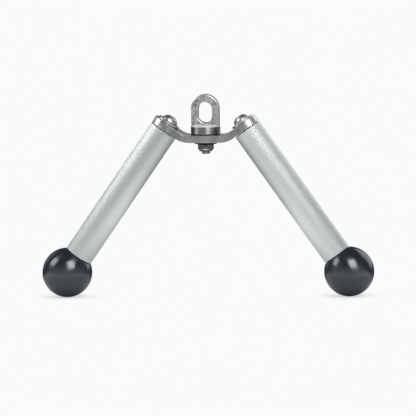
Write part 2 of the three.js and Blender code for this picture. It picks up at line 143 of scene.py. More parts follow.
class NodeBench:
    """Adds and links the nodes of one tree."""

    MIX_FIRST = 6
    MIX_SECOND = 7
    MIX_RESULT = 2

    def __init__(self, tree: bpy.types.NodeTree) -> None:
        """Takes the tree of a material, a world or a group."""
        self.tree = tree

    @classmethod
    def cleared(cls, owner: Material | bpy.types.World) -> "NodeBench":
        """Empties an owner's tree.

        Args:
            owner: Material or world.

        Returns:
            A bench for the tree.
        """
        owner.use_nodes = True
        owner.node_tree.nodes.clear()
        return cls(owner.node_tree)

    def add(self, kind: str, feeds: Feeds | None = None, **settings: object) -> Node:
        """Adds a node.

        Args:
            kind: Node type without the ShaderNode that it starts with.
            feeds: What goes into its inputs.
            **settings: Attributes to set on it.

        Returns:
            The new node.
        """
        node = self.tree.nodes.new(f"ShaderNode{kind}")
        for name, value in settings.items():
            setattr(node, name, value)
        self.fill(node, feeds or {})
        return node

    def fill(self, node: Node, feeds: Feeds) -> None:
        """Links or sets several inputs of a node.

        Args:
            node: The node.
            feeds: What goes into them.
        """
        for key, source in feeds.items():
            into = node.inputs[key]
            if isinstance(source, bpy.types.NodeSocket):
                self.tree.links.new(source, into)
            else:
                into.default_value = (*source, 1.0) if into.type == "RGBA" else source

    def math(self, operation: str, *values: Feed) -> Socket:
        """Result of a Math node."""
        return self.add("Math", dict(enumerate(values)), operation=operation).outputs["Value"]

    def vector(self, operation: str, *values: Feed) -> Socket:
        """Result of a Vector Math node, a number for DOT_PRODUCT and a vector for the others."""
        node = self.add("VectorMath", dict(enumerate(values)), operation=operation)
        return node.outputs["Value" if operation == "DOT_PRODUCT" else "Vector"]

    def split(self, vector: Socket) -> list[Socket]:
        """X, Y and Z of a vector."""
        return list(self.add("SeparateXYZ", {0: vector}).outputs)

    def gather(self, x: Socket, y: Socket, z: Socket) -> Socket:
        """Vector of three numbers."""
        return self.add("CombineXYZ", {0: x, 1: y, 2: z}).outputs[0]

    def distance(self, x: Socket, y: Socket) -> Socket:
        """Distance from the axis, from the two parts that lie across it."""
        squares = [self.math("MULTIPLY", part, part) for part in (x, y)]
        return self.math("POWER", self.math("ADD", *squares), 0.5)

    def weigh(self, first: Socket, second: Socket, share: float) -> Socket:
        """Sum of two values, with a share of the first and the rest of the second."""
        rest = self.math("MULTIPLY", second, 1 - share)
        return self.math("ADD", self.math("MULTIPLY", first, share), rest)

    def noise(self, vector: Socket, scale: Feed, detail: float = 2.0, fineness: float = 0.5) -> Socket:
        """Noise, about 0.5 on average, with so many cells in a metre and so many finer octaves."""
        feeds = {"Vector": vector, "Scale": scale, "Detail": detail, "Roughness": fineness}
        return self.add("TexNoise", feeds, noise_dimensions="3D").outputs["Fac"]

    def spread(self, value: Socket, *fade: float) -> Socket:
        """Fades a value smoothly, from 0 to 1 where a fade gives no output, and holds it past its ends."""
        feeds = dict(zip(("Value", "From Min", "From Max", "To Min", "To Max"), (value, *fade)))
        return self.add("MapRange", feeds, interpolation_type="SMOOTHSTEP").outputs["Result"]

    def mix(self, share: Socket, first: Socket | Color, second: Socket | Color) -> Socket:
        """Mixes two colours by the share of the second."""
        feeds = {0: share, self.MIX_FIRST: first, self.MIX_SECOND: second}
        return self.add("Mix", feeds, data_type="RGBA").outputs[self.MIX_RESULT]


class GroupBench(NodeBench):
    """Bench of a new node group, with the group's input and output nodes."""

    def __init__(self, name: str, numbers: Sequence[str], outputs: Sequence[str]) -> None:
        """Makes a group with a Vector input, number inputs and number outputs.

        Args:
            name: Group name.
            numbers: Names of its number inputs.
            outputs: Names of its outputs.
        """
        super().__init__(bpy.data.node_groups.new(name, "ShaderNodeTree"))
        sockets = self.tree.interface
        sockets.new_socket(name="Vector", in_out="INPUT", socket_type="NodeSocketVector")
        for in_out, labels in (("INPUT", numbers), ("OUTPUT", outputs)):
            for label in labels:
                sockets.new_socket(name=label, in_out=in_out, socket_type="NodeSocketFloat")
        self.given = self.tree.nodes.new("NodeGroupInput").outputs
        self.end = self.tree.nodes.new("NodeGroupOutput")


class Effects:
    """Node groups that several finishes share, each built once."""

    BROAD_GRAIN = 0.23
    BROAD_LINES = 0.12
    PIT_EDGE = (0.34, 0.42)
    TONE_EDGE = (0.32, 0.68)
    PATCH_EDGE = (0.38, 0.66)
    SCRATCH_GATE = (0.52, 0.62)
    SCRATCH_LINE = (0.0, 0.006, 1.0, 0.0)
    SCRATCH_TURNS = ((0.5, 9.0), (-0.9, 12.0), (2.1, 7.0))

    def __init__(self) -> None:
        """Builds the groups."""
        self.grain = self.tumbled_grain()
        self.lines = self.work_lines()
        self.handling = self.handling_marks()

    def tumbled_grain(self) -> bpy.types.NodeTree:
        """Fine even grain with a few pits, as tumbling leaves it.

        Returns:
            The group.
        """
        group = GroupBench("tumbled_grain", ["Scale"], ["Height", "Tone"])
        place, scale = group.given["Vector"], group.given["Scale"]
        broad_scale = group.math("MULTIPLY", scale, self.BROAD_GRAIN)
        fine = group.noise(place, scale, detail=3.0, fineness=0.6)
        broad = group.noise(place, broad_scale)
        pits = group.spread(group.noise(place, broad_scale, detail=5.0, fineness=0.7), *self.PIT_EDGE)
        tone = group.spread(group.weigh(fine, broad, 0.65), *self.TONE_EDGE)
        group.fill(group.end, {"Height": group.weigh(fine, pits, 0.6), "Tone": tone})
        return group.tree

    def work_lines(self) -> bpy.types.NodeTree:
        """Fine lines that follow X and Y and change along Z.

        Returns:
            The group.
        """
        group = GroupBench("work_lines", ["Scale", "Drift"], ["Height", "Tone"])
        scale, drift = group.given["Scale"], group.given["Drift"]
        x, y, z = group.split(group.given["Vector"])
        place = group.gather(group.math("MULTIPLY", x, drift), group.math("MULTIPLY", y, drift), z)
        fine = group.noise(place, scale, detail=3.0, fineness=0.65)
        broad = group.noise(place, group.math("MULTIPLY", scale, self.BROAD_LINES))
        tone = group.spread(group.weigh(fine, broad, 0.5), *self.TONE_EDGE)
        group.fill(group.end, {"Height": fine, "Tone": tone})
        return group.tree

    def handling_marks(self) -> bpy.types.NodeTree:
        """Soft patches of handling and a few hairline scratches.

        Returns:
            The group.
        """
        group = GroupBench("handling_marks", ["Scale"], ["Patches", "Scratches"])
        place, scale = group.given["Vector"], group.given["Scale"]
        patches = group.spread(group.noise(place, scale, detail=4.0, fineness=0.55), *self.PATCH_EDGE)
        lines = []
        for turn, stretch in self.SCRATCH_TURNS:
            feeds = {"Vector": place, "Rotation": (turn, 0.7 * turn, turn), "Scale": (1.0, stretch, 1.0)}
            turned = group.add("Mapping", feeds).outputs["Vector"]
            wide = group.noise(turned, group.math("MULTIPLY", scale, 2.0), detail=1.0)
            thin = group.math("ABSOLUTE", group.math("SUBTRACT", wide, 0.5))
            lines.append(group.spread(thin, *self.SCRATCH_LINE))
        marks = group.math("MAXIMUM", group.math("MAXIMUM", lines[0], lines[1]), lines[2])
        gate = group.spread(group.noise(place, scale, detail=1.0), *self.SCRATCH_GATE)
        group.fill(group.end, {"Patches": patches, "Scratches": group.math("MULTIPLY", marks, gate)})
        return group.tree


@dataclass(frozen=True)
class Finish:
    """One surface finish, with the fine lines or grain that its making leaves."""

    name: str
    dark: Color
    pale: Color
    lay: Lay
    metallic: float = 1.0
    roughness: tuple[float, float] = (0.3, 0.4)
    lines_per_metre: float = 3000.0
    drift: float = 0.02
    bump: float = 0.1
    bump_depth: float = 0.02 * MM
    anisotropy: float = 0.0
    scratches: float = 0.15
    scratch_light: float = 1.25
    marks_per_metre: float = 45.0
    specular: float = 0.5
    # Dark sawn marks on the bracket's arms, and paler round ends that are a painted highlight.
    sawn_past: float = 0.0
    sawn_fade: float = 6.0 * MM
    sawn_end: tuple[float, float] = (21.0 * MM, 26.0 * MM)
    sawn_slant: float = math.radians(20)
    sawn_per_metre: float = 420.0
    sawn_edge: tuple[float, float] = (0.44, 0.6)
    end_light: float = 1.3

    def material(self, effects: Effects, place: Matrix, label: str = "") -> Material:
        """Builds the material for pieces that were worked about one axis.

        Args:
            effects: The shared node groups.
            place: Matrix from the pieces' own axes, with the work's axis along Z, to the object's.
            label: Word that ends the material's name where a finish has several places.

        Returns:
            The material.
        """
        material = bpy.data.materials.new(f"{self.name}{label}")
        bench = NodeBench.cleared(material)
        shader = bench.add("BsdfPrincipled", {"Metallic": self.metallic, "Specular IOR Level": self.specular})
        bench.add("OutputMaterial", {"Surface": shader.outputs["BSDF"]})

        feeds = {"Vector": bench.add("TexCoord").outputs["Object"]}
        feeds |= {"Location": place.to_translation(), "Rotation": place.to_euler()}
        vector = bench.add("Mapping", feeds, vector_type="TEXTURE").outputs["Vector"]
        feeds = {"Vector": self.worked(bench, vector), "Scale": self.lines_per_metre}
        if self.lay is Lay.GRAIN:
            work = bench.add("Group", feeds, node_tree=effects.grain)
        else:
            work = bench.add("Group", feeds | {"Drift": self.drift}, node_tree=effects.lines)
        feeds = {"Vector": vector, "Scale": self.marks_per_metre}
        marks = bench.add("Group", feeds, node_tree=effects.handling)

        tone = bench.mix(work.outputs["Tone"], self.dark, self.pale)
        if self.sawn_past:
            tone = self.sawn(bench, vector, tone)
        scratched = bench.math("MULTIPLY", marks.outputs["Scratches"], self.scratches)
        bench.fill(shader, {
            "Base Color": bench.mix(scratched, tone, self.paler(self.scratch_light)),
            "Roughness": bench.spread(marks.outputs["Patches"], 0.0, 1.0, *self.roughness),
        })
        if self.bump:
            feeds = {"Strength": self.bump, "Distance": self.bump_depth, "Height": work.outputs["Height"]}
            bench.fill(shader, {"Normal": bench.add("Bump", feeds).outputs["Normal"]})
        if self.anisotropy:
            turn = 0.25 if self.lay is Lay.ROUND else 0.0
            bench.fill(shader, {"Anisotropic": self.anisotropy, "Anisotropic Rotation": turn})
            bench.fill(shader, {"Tangent": self.tangent(bench, place)})
        return material

    def paler(self, light: float) -> Color:
        """The pale tone times a factor, held at white."""
        return tuple(min(1.0, light * channel) for channel in self.pale)

    def worked(self, bench: NodeBench, vector: Socket) -> Socket:
        """Turns the piece's own place so that the lines change along Z.

        Args:
            bench: Bench of the material.
            vector: Place in the piece's own axes.

        Returns:
            Place for the lines or the grain.
        """
        if self.lay is not Lay.ROUND:
            return vector
        x, y, z = bench.split(vector)
        return bench.gather(x, y, bench.math("ADD", z, bench.distance(x, y)))

    def sawn(self, bench: NodeBench, vector: Socket, tone: Socket) -> Socket:
        """Adds coarse dark marks across the arms and pales the round ends as a painted highlight.

        Args:
            bench: Bench of the material.
            vector: Place in the piece's own axes.
            tone: Colour without the marks.

        Returns:
            Colour with them.
        """
        away = bench.math("ABSOLUTE", bench.split(vector)[2])
        arm = bench.spread(away, self.sawn_past, self.sawn_past + self.sawn_fade)
        # Paler round ends: a painted highlight.
        end = bench.spread(away, *(self.sawn_past + past for past in self.sawn_end))
        feeds = {"Vector": vector, "Rotation": (0.0, self.sawn_slant, 0.0), "Scale": (0.3, 0.3, 1.0)}
        slanted = bench.add("Mapping", feeds).outputs["Vector"]
        marks = bench.noise(slanted, self.sawn_per_metre, detail=3.0, fineness=0.6)
        marked = bench.math("MULTIPLY", arm, bench.spread(marks, *self.sawn_edge))
        return bench.mix(end, bench.mix(marked, tone, self.dark), self.paler(self.end_light))

    @staticmethod
    def tangent(bench: NodeBench, place: Matrix) -> Socket:
        """Direction round the work's axis.

        Args:
            bench: Bench of the material.
            place: Matrix from the pieces' own axes to the object's.

        Returns:
            The direction at each point of the surface.
        """
        arm = bench.vector("SUBTRACT", bench.add("TexCoord").outputs["Object"], place.to_translation())
        feeds = {"Vector": bench.vector("CROSS_PRODUCT", place.to_3x3() @ UP, arm)}
        settings = {"vector_type": "VECTOR", "convert_from": "OBJECT", "convert_to": "WORLD"}
        return bench.vector("NORMALIZE", bench.add("VectorTransform", feeds, **settings).outputs["Vector"])


EYE_STEEL = Finish(
    "eye_steel", (0.2, 0.208, 0.208), (0.84, 0.856, 0.856), Lay.GRAIN, roughness=(0.34, 0.44),
    lines_per_metre=720.0, bump=0.7, bump_depth=0.08 * MM, scratches=0.3,
)
# Pale steel: real wear on the eye's rounded edges, and a painted highlight on the nut's chamfers.
WORN_AND_HIGHLIGHT_STEEL = Finish(
    "worn_steel", (0.66, 0.67, 0.67), (0.82, 0.83, 0.83), Lay.GRAIN, roughness=(0.34, 0.44),
    lines_per_metre=900.0, scratches=0.3,
)
# Paler, rougher steel on the collar's top face and upper chamfer: a painted highlight.
HIGHLIGHT_CHAMFER_STEEL = Finish(
    "chamfer_steel", (0.74, 0.75, 0.75), (0.88, 0.89, 0.89), Lay.ROUND, roughness=(0.7, 0.8),
    lines_per_metre=1500.0,
)
COLLAR_STEEL = Finish(
    "collar_steel", (0.25, 0.256, 0.256), (0.4, 0.408, 0.408), Lay.ROUND, roughness=(0.36, 0.4),
    lines_per_metre=2600.0, anisotropy=1.0,
)
BRACKET_STEEL = Finish(
    "bracket_steel", (0.32, 0.33, 0.323), (0.59, 0.602, 0.595), Lay.ALONG, roughness=(0.3, 0.38),
    lines_per_metre=1000.0, drift=0.25, bump=0.35, bump_depth=0.05 * MM, scratches=0.3, sawn_past=24.0 * MM,
)
SATIN_STAINLESS = Finish(
    "satin_stainless", (0.71, 0.745, 0.74), (0.79, 0.825, 0.82), Lay.GRAIN, roughness=(0.4, 0.42),
    lines_per_metre=1400.0, bump=0.0, anisotropy=0.92,
)
BRIGHT_STEEL = Finish(
    "bright_steel", (0.5, 0.51, 0.515), (0.66, 0.67, 0.68), Lay.ROUND, roughness=(0.4, 0.5),
    lines_per_metre=2500.0, bump=0.08, anisotropy=0.3,
)
# Nut steel darkened as painted shade, for the nut's place under the bracket.
SHADED_NUT_STEEL = Finish(
    "nut_steel", (0.1, 0.104, 0.108), (0.21, 0.216, 0.223), Lay.GRAIN, lines_per_metre=1500.0, bump=0.2,
)
BALL_PLASTIC = Finish(
    "turned_black_plastic", (0.0065, 0.011, 0.0145), (0.012, 0.0185, 0.024), Lay.ROUND, metallic=0.0,
    roughness=(0.21, 0.25), lines_per_metre=1400.0, anisotropy=0.7, scratches=0.05, specular=1.0,
)
BLACK_ACETAL = Finish(
    "black_acetal", (0.01, 0.01, 0.011), (0.02, 0.02, 0.022), Lay.ROUND, metallic=0.0,
    roughness=(0.4, 0.5), scratches=0.05,
)
BLACK_STEEL = Finish(
    "black_steel", (0.008, 0.0085, 0.009), (0.016, 0.017, 0.018), Lay.GRAIN, metallic=0.0,
    roughness=(0.55, 0.7), lines_per_metre=2500.0, bump=0.15, scratches=0.1, specular=0.15,
)
BRONZE = Finish(
    "bronze", (0.36, 0.22, 0.09), (0.5, 0.32, 0.14), Lay.GRAIN, roughness=(0.35, 0.5),
    lines_per_metre=4000.0, bump=0.2,
)
NYLON = Finish(
    "nylon", (0.03, 0.09, 0.22), (0.04, 0.12, 0.28), Lay.GRAIN, metallic=0.0, roughness=(0.45, 0.6),
    lines_per_metre=2000.0,
)


def of_kind(kind: type, elements: Sequence[object]) -> list:
    """Those elements of an operator's result that are of one kind."""
    return [element for element in elements if isinstance(element, kind)]


def everything(mesh: Mesh) -> list:
    """All of a mesh's elements, for an operator."""
    return mesh.verts[:] + mesh.edges[:] + mesh.faces[:]


def face_out(mesh: Mesh) -> Mesh:
    """Points the faces of a mesh's closed shells outwards."""
    bmesh.ops.recalc_face_normals(mesh, faces=mesh.faces[:])
    return mesh


def circle(
    mesh: Mesh, segments: int, radius: float, level: Matrix, filled: bool = False,
) -> tuple[list[Vert], Loop]:
    """Draws a circle and gives its vertices and its edges."""
    drawn = bmesh.ops.create_circle(mesh, cap_ends=filled, segments=segments, radius=radius, matrix=level)
    return drawn["verts"], list(dict.fromkeys(edge for vert in drawn["verts"] for edge in vert.link_edges))


def cut_off(mesh: Mesh, place: Vector, out: Vector) -> list[bmesh.types.BMFace]:
    """Cuts a mesh by a plane and drops what lies past it.

    Args:
        mesh: The mesh.
        place: A point of the plane.
        out: The plane's direction, away from what stays.

    Returns:
        The faces that close the cut.
    """
    cut = bmesh.ops.bisect_plane(
        mesh, geom=everything(mesh), dist=MERGE_DISTANCE, plane_co=place, plane_no=out, clear_outer=True,
    )
    return bmesh.ops.holes_fill(mesh, edges=of_kind(Edge, cut["geom_cut"]))["faces"]


def written(name: str, mesh: Mesh) -> bpy.types.Mesh:
    """Writes a mesh as data and frees it.

    Args:
        name: Name of the data.
        mesh: The mesh.

    Returns:
        The data.
    """
    data = bpy.data.meshes.new(name)
    mesh.to_mesh(data)
    mesh.free()
    return data


def placed(name: str, data: bpy.types.ID) -> bpy.types.Object:
    """Adds an object to the scene.

    Args:
        name: Its name.
        data: Mesh, camera or lamp that it shows.

    Returns:
        The object.
    """
    shape = bpy.data.objects.new(name, data)
    bpy.context.scene.collection.objects.link(shape)
    return shape


class TurnedSection:
    """Half-section of a turned piece, which is then spun about Z."""

    def __init__(self, *corners: Sequence[float]) -> None:
        """Starts the section.

        Args:
            *corners: Its first corners, as draw takes them.
        """
        self.mesh = bmesh.new()
        self.verts: list[Vert] = []
        self.rounds: list[tuple[Vert, float]] = []
        self.draw(*corners)

    def draw(self, *corners: Sequence[float]) -> None:
        """Draws straight lines from corner to corner.

        Args:
            *corners: Radius and height of each, and the length that a rounding takes from each side.
        """
        for radius, height, *rounding in corners:
            vert = self.mesh.verts.new((radius, 0.0, height))
            if self.verts:
                self.mesh.edges.new((self.verts[-1], vert))
            self.verts.append(vert)
            self.rounds += [(vert, length) for length in rounding]

    def arc(self, height: float, turn: float, steps: int) -> None:
        """Draws an arc from the last corner about a centre on the axis.

        Args:
            height: Height of its centre.
            turn: Angle that it turns, from the axis outwards if positive at its foot.
            steps: Number of chords.
        """
        spun = bmesh.ops.spin(
            self.mesh, geom=[self.verts[-1]], cent=(0.0, 0.0, height), axis=(0.0, 1.0, 0.0),
            angle=-turn, steps=steps,
        )
        self.verts += of_kind(Vert, spun["geom_last"])

    def turned(self, segments: int = FACETS, closed: bool = False) -> Mesh:
        """Rounds the corners and spins the section.

        Args:
            segments: Facets round the piece.
            closed: Whether the section's last corner joins its first.

        Returns:
            The turned shell.
        """
        mesh = self.mesh
        if closed:
            mesh.edges.new((self.verts[-1], self.verts[0]))
        for vert, length in self.rounds:
            bmesh.ops.bevel(
                mesh, geom=[vert], offset=length, segments=3, profile=0.5, affect="VERTICES", material=-1,
            )
        line = mesh.verts[:] + mesh.edges[:]
        bmesh.ops.spin(mesh, geom=line, axis=UP, angle=FULL_TURN, steps=segments, use_merge=True)
        bmesh.ops.remove_doubles(mesh, verts=mesh.verts[:], dist=MERGE_DISTANCE)
        return face_out(mesh)


def ring(inner: float, outer: float, foot: float, thickness: float, edge: float) -> Mesh:
    """Turns a flat ring, with the edges of its bore rounded half as much as those of its rim.

    Args:
        inner: Radius of its bore.
        outer: Radius of its rim.
        foot: Height of its lower face.
        thickness: Height between its faces.
        edge: Rounding of its rim.

    Returns:
        The shell.
    """
    rim = ((outer, foot, edge), (outer, foot + thickness, edge))
    return TurnedSection(
        (inner, foot, edge / 2), *rim, (inner, foot + thickness, edge / 2),
    ).turned(closed=True)


def join(*meshes: Mesh) -> Mesh:
    """Puts several closed shells of one piece into the first one's mesh.

    Args:
        *meshes: The shells.

    Returns:
        The first mesh, with the others in it.
    """
    whole, *others = meshes
    for other in others:
        shell = written("shell", other)
        whole.from_mesh(shell)
        bpy.data.meshes.remove(shell)
    return whole


def bevel_rims(mesh: Mesh, offset: float, segments: int, surface: Surface) -> None:
    """Rounds the edges where two faces meet at more than half a right angle.

    Args:
        mesh: Mesh that has them.
        offset: Width of the rounding on each side.
        segments: Strips across it.
        surface: Kind of surface that the roundings have.
    """
    rims = [e for e in mesh.edges if len(e.link_faces) == 2 and e.calc_face_angle() > RIM_ANGLE]
    rounded = bmesh.ops.bevel(
        mesh, geom=rims, offset=offset, segments=segments, profile=0.5, affect="EDGES",
        clamp_overlap=True, material=-1,
    )
    for face in rounded["faces"]:
        face.material_index = surface


@dataclass
class Workshop:
    """Turns finished meshes into pieces of the scene."""

    effects: Effects

    def materials(self, place: Matrix, *finishes: Finish, label: str = "") -> list[Material]:
        """Materials of several finishes, for pieces that were worked about one axis."""
        return [finish.material(self.effects, place, label) for finish in finishes]

    def piece(
        self, name: str, mesh: Mesh, materials: Sequence[Material], part: Part, slot: str,
        place: Matrix | None = None,
    ) -> None:
        """Makes the piece that stands for the CAD node of the same name.

        Args:
            name: Node name.
            mesh: Finished mesh in the piece's own axes, freed here.
            materials: Its finishes, in the order of Surface.
            part: Body that it rides on.
            slot: Record's material slot; not used.
            place: Matrix from the piece's own axes to the object's.
        """
        if place is not None:
            bmesh.ops.transform(mesh, matrix=place, space=Matrix.Identity(4), verts=mesh.verts[:])
        for face in mesh.faces:
            face.smooth = True
        for edge in mesh.edges:
            edge.smooth = len(edge.link_faces) != 2 or edge.calc_face_angle() < CREASE_ANGLE
        data = written(f"{name}_shape", mesh)
        for material in materials:
            data.materials.append(material)
        shape = placed(f"{name}_dressed", data)
        shading = shape.modifiers.new("flat_faces", "WEIGHTED_NORMAL")
        shading.keep_sharp = True
        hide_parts(name)
        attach(shape, part.value)
        log.info("%s: %d faces, on %s", shape.name, len(data.polygons), part.value)

    def dress_node(self, name: str, material: Material) -> None:
        """Gives a CAD node that stays its finish.

        Args:
            name: Node name.
            material: Its finish.
        """
        node = frame["nodes"][name]
        node.data.materials.clear()
        node.data.materials.append(material)
        log.info("%s: kept from the CAD model", name)


@dataclass
class Swivel:
    """Eye, collar and stud in one piece, with the washers, sleeve and lock nut that hold it."""

    workshop: Workshop
    eye_width: float = 30.5 * MM
    eye_thickness: float = 13.0 * MM
    eye_bevel: float = 1.0 * MM
    slot_width: float = 15.5 * MM
    slot_length: float = 22.6 * MM
    crown_wall: float = 8.4 * MM
    slot_floor: float = 2.0 * MM
    eye_root: float = 4.0 * MM
    collar_radius: float = 16.25 * MM
    collar_height: float = 10.3 * MM
    collar_top_chamfer: float = 2.4 * MM
    collar_foot_chamfer: float = 0.7 * MM
    stud_radius: float = 6.0 * MM
    stud_end: float = -57.1 * MM
    stud_chamfer: float = 0.6 * MM
    thread_radius: float = 5.0 * MM
    thread_depth: float = 0.8 * MM
    thread_pitch: float = 1.5 * MM
    thread_start: float = 0.5 * MM
    thread_flank: float = 0.63 * MM
    thread_crest: float = 0.12 * MM
    thread_steps: int = 48
    bracket_foot: float = -44.1 * MM
    thrust_bore: float = 6.15 * MM
    thrust_radius: float = 15.95 * MM
    thrust_thickness: float = 1.0 * MM
    thrust_edge: float = 0.15 * MM
    washer_radius: float = 12.3 * MM
    washer_thickness: float = 1.8 * MM
    washer_edge: float = 0.3 * MM
    face_gap: float = 0.1 * MM
    nut_flats: float = 17.0 * MM
    nut_height: float = 6.4 * MM
    nut_face_radius: float = 7.99 * MM
    nut_collar_radius: float = 7.2 * MM
    nut_collar_height: float = 1.6 * MM
    nut_collar_edge: float = 0.5 * MM
    nut_collar_inset: float = 0.6 * MM
    nut_bore: float = 5.15 * MM
    nut_turn: float = math.radians(3)
    nut_chamfer: float = math.radians(45)
    nut_allowance: float = 0.1 * MM
    nut_segments: int = 72

    def build(self) -> None:
        """Builds and dresses the swivel's pieces."""
        shop, upright = self.workshop, Matrix.Identity(4)
        steels = shop.materials(upright, EYE_STEEL, WORN_AND_HIGHLIGHT_STEEL, COLLAR_STEEL, HIGHLIGHT_CHAMFER_STEEL)
        shop.piece("swivel_eye", self.eye(), steels, Part.HANGER, "eye_steel")
        acetal = shop.materials(upright, BLACK_ACETAL)
        shop.piece("thrust_washer", self.thrust_washer(), acetal, Part.HANGER, "black_acetal")
        black = shop.materials(upright, BLACK_STEEL)
        shop.piece("retaining_washer", self.retaining_washer(), black, Part.HANGER, "black_steel")
        nut_steel, bronze, nylon = shop.materials(upright, SHADED_NUT_STEEL, BRONZE, NYLON)
        # The nut's flats take the darkened steel as painted shade, and its chamfers take the pale worn steel
        # as a painted highlight.
        nut_shade_and_highlight_steels = (nut_steel, steels[Surface.WORN])
        shop.piece("lock_nut", self.lock_nut(), nut_shade_and_highlight_steels, Part.HANGER, "nut_steel")
        shop.dress_node("swivel_bushing", bronze)
        shop.dress_node("lock_nut_insert", nylon)

    @property
    def collar_top(self) -> float:
        """Height of the collar's upper face."""
        return -self.slot_length - self.slot_floor

    @property
    def collar_foot(self) -> float:
        """Height of the collar's lower face."""
        return self.collar_top - self.collar_height

    @property
    def nut_top(self) -> float:
        """Height of the nut's upper face."""
        return self.bracket_foot - self.washer_thickness - 2 * self.face_gap

    def upright_loop(self, mesh: Mesh, radius: float, top: float, foot: float) -> Loop:
        """Draws two half circles joined by straight sides, standing in the plane of the eye's front face.

        Args:
            mesh: Mesh to draw in.
            radius: Radius of the half circles.
            top: Height of the upper one's centre.
            foot: Height of the lower one's centre.

        Returns:
            The loop's edges.
        """
        half_step = Matrix.Rotation(math.pi / FACETS, 4, "Z")
        stand = Matrix.Translation((0.0, -self.eye_thickness / 2, 0.0)) @ Matrix.Rotation(math.pi / 2, 4, "X")
        verts, edges = circle(mesh, FACETS, radius, stand @ half_step)
        upper = [v for v in verts if v.co.z > 0]
        lower = [v for v in verts if v.co.z < 0]
        bmesh.ops.translate(mesh, verts=upper, vec=(0.0, 0.0, top))
        bmesh.ops.translate(mesh, verts=lower, vec=(0.0, 0.0, foot))
        return edges

    def eye(self) -> Mesh:
        """Slotted plate with rounded edges, on its turned collar and threaded stud.

        Returns:
            The mesh.
        """
        mesh = bmesh.new()
        root = self.collar_top - self.eye_root
        slot_radius = self.slot_width / 2
        crown = self.crown_wall - self.eye_width / 2
        outer = self.upright_loop(mesh, self.eye_width / 2, crown, root - self.eye_width)
        slot = self.upright_loop(mesh, slot_radius, -slot_radius, slot_radius - self.slot_length)
        front = bmesh.ops.bridge_loops(mesh, edges=outer + slot)
        thick = bmesh.ops.extrude_face_region(mesh, geom=front["faces"])
        back = of_kind(Vert, thick["geom"])
        bmesh.ops.translate(mesh, verts=back, vec=(0.0, self.eye_thickness, 0.0))
        bevel_rims(face_out(mesh), self.eye_bevel, 4, Surface.WORN)
        cut_off(mesh, UP * root, -UP)
        shells = [self.collar(), self.thread()]
        # The collar's top face and upper chamfer take the paler steel as a painted highlight; the rest of the
        # collar and the stud keep the turned steel.
        for face in [face for shell in shells for face in shell.faces]:
            chamfer = face.calc_center_median().z > self.collar_top - self.collar_top_chamfer
            face.material_index = Surface.CHAMFER if chamfer else Surface.TURNED
        return join(mesh, *shells)

    def collar(self) -> Mesh:
        """Collar and stud, turned about Z.

        Returns:
            The shell.
        """
        end, tip, top, foot = self.stud_end, self.stud_chamfer, self.collar_top, self.collar_foot
        wide, slope, base = self.collar_radius, self.collar_top_chamfer, self.collar_foot_chamfer
        core = self.thread_radius - self.thread_depth
        return TurnedSection(
            (0.0, end), (core - tip, end, 0.1 * MM), (core, end + tip, 0.1 * MM), (core, self.bracket_foot),
            (self.stud_radius, self.bracket_foot), (self.stud_radius, foot), (wide - base, foot, 0.15 * MM),
            (wide, foot + base, 0.25 * MM), (wide, top - slope, 0.35 * MM), (wide - slope, top, 0.35 * MM),
            (0.0, top),
        ).turned()

    def thread(self) -> Mesh:
        """Ridge that winds round the stud's end.

        Returns:
            The shell.
        """
        mesh = bmesh.new()
        low, flank, crest = self.stud_end + self.thread_start, self.thread_flank, self.thread_crest
        core = self.thread_radius - self.thread_depth - 0.1 * MM
        radii = (core, self.thread_radius, self.thread_radius, core)
        heights = (low, low + flank, low + flank + crest, low + 2 * flank + crest)
        face = mesh.faces.new([mesh.verts.new((radius, 0.0, z)) for radius, z in zip(radii, heights)])
        turns = int((self.bracket_foot - low) / self.thread_pitch) - 1
        rise = self.thread_pitch / self.thread_steps
        bmesh.ops.spin(
            mesh, geom=[face, *face.edges, *face.verts], axis=UP, dvec=(0.0, 0.0, rise),
            angle=turns * FULL_TURN, steps=self.thread_steps * turns,
        )
        return face_out(mesh)

    def thrust_washer(self) -> Mesh:
        """Thin ring that the collar turns on."""
        foot = self.collar_foot - self.face_gap - self.thrust_thickness
        return ring(self.thrust_bore, self.thrust_radius, foot, self.thrust_thickness, self.thrust_edge)

    def retaining_washer(self) -> Mesh:
        """Washer between the bracket and the nut."""
        foot = self.nut_top + self.face_gap
        return ring(self.nut_bore, self.washer_radius, foot, self.washer_thickness, self.washer_edge)

    def lock_nut(self) -> Mesh:
        """Hexagon with chamfered corners and a crimped collar below.

        Returns:
            The mesh.
        """
        foot, edge, wide = self.nut_top - self.nut_height, self.nut_collar_edge, self.nut_collar_radius
        end, bore = foot - self.nut_collar_height, self.nut_bore + self.nut_collar_inset
        crimp = TurnedSection((bore, end, 0.15 * MM), (wide, end, edge))
        crimp.draw((wide, foot + edge), (bore, foot + edge))
        return join(self.hexagon(foot), crimp.turned(self.nut_segments, closed=True))

    def hexagon(self, foot: float) -> Mesh:
        """Ring with its edges turned off, then cut to six flats.

        Args:
            foot: Height of its lower face.

        Returns:
            The shell.
        """
        top, bore, seat = self.nut_top, self.nut_bore, self.nut_face_radius
        reach = self.nut_flats / math.sqrt(3) + self.nut_allowance
        slope = (reach - seat) * math.tan(self.nut_chamfer)
        section = TurnedSection(
            (bore, foot), (seat, foot), (reach, foot + slope), (reach, top - slope), (seat, top), (bore, top),
        )
        mesh = section.turned(self.nut_segments, closed=True)
        # The sloping chamfers take the pale worn steel: a painted highlight for the light band below the
        # bracket.
        for face in mesh.faces:
            sloping = 0.1 < abs(face.normal.z) < 0.9
            face.material_index = Surface.WORN if sloping else Surface.PLAIN
        for flat in range(6):
            out = Matrix.Rotation(flat * FULL_TURN / 6, 3, "Z") @ Vector((1.0, 0.0, 0.0))
            for face in cut_off(mesh, out * self.nut_flats / 2, out):
                face.material_index = Surface.PLAIN
        bmesh.ops.rotate(mesh, verts=mesh.verts[:], matrix=Matrix.Rotation(self.nut_turn, 3, "Z"))
        return face_out(mesh)


